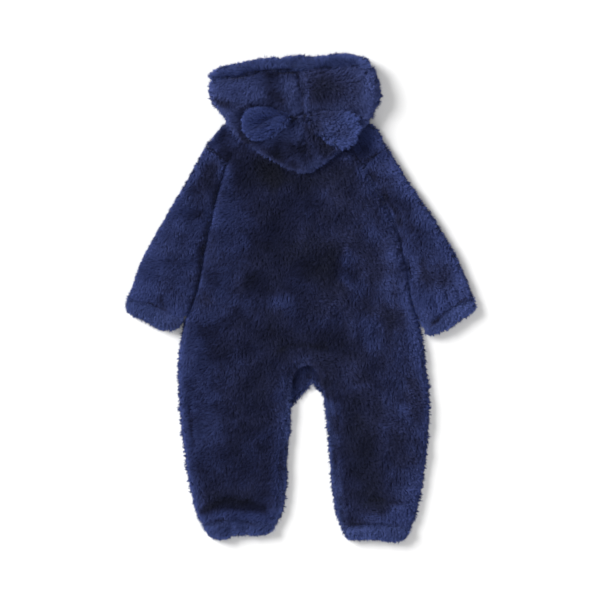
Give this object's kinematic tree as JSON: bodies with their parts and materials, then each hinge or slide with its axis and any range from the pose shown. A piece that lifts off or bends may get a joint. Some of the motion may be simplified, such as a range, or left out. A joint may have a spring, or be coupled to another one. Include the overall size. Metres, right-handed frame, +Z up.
{
  "type": "hooded fleece onesie",
  "caption": "Baby's hooded onesie in plush fleece, laid flat face down, with the hood turned back and two round ears on it.",
  "frame": {"origin": "on the surface under the middle of the garment's bounding box", "axes": "+X to the right seen from above, which is the wearer's right side because the garment lies on its front; +Y towards the head; +Z up from the surface"},
  "size_m": [0.495, 0.6838, 0.0359],
  "materials": {
    "fleece": "long plush pile, navy, matt with a soft sheen, clumped and brushed in patches",
    "fleece_trim": "the same plush, fuller and a little lighter where it is gathered at hems and bands",
    "fleece_hood": "the same plush on the hood, brushed towards its point",
    "fleece_ear": "the same plush on the ears, a little lighter"
  },
  "bodies": {
    "root": {"back_panel": "fleece", "inseam_band": "fleece_trim", "front_left": "fleece", "front_right": "fleece", "sleeve_left": "fleece", "sleeve_right": "fleece", "cuff_left": "fleece_trim", "cuff_right": "fleece_trim", "ankle_left": "fleece_trim", "ankle_right": "fleece_trim", "shoulder_left": "fleece", "shoulder_right": "fleece", "hood_left": "fleece_hood", "hood_right": "fleece_hood", "hood_hem": "fleece_trim", "hood_under": "fleece", "ear_left_inner": "fleece_ear", "ear_left_outer": "fleece_ear", "ear_right_inner": "fleece_ear", "ear_right_outer": "fleece_ear"}
  },
  "joints": []
}
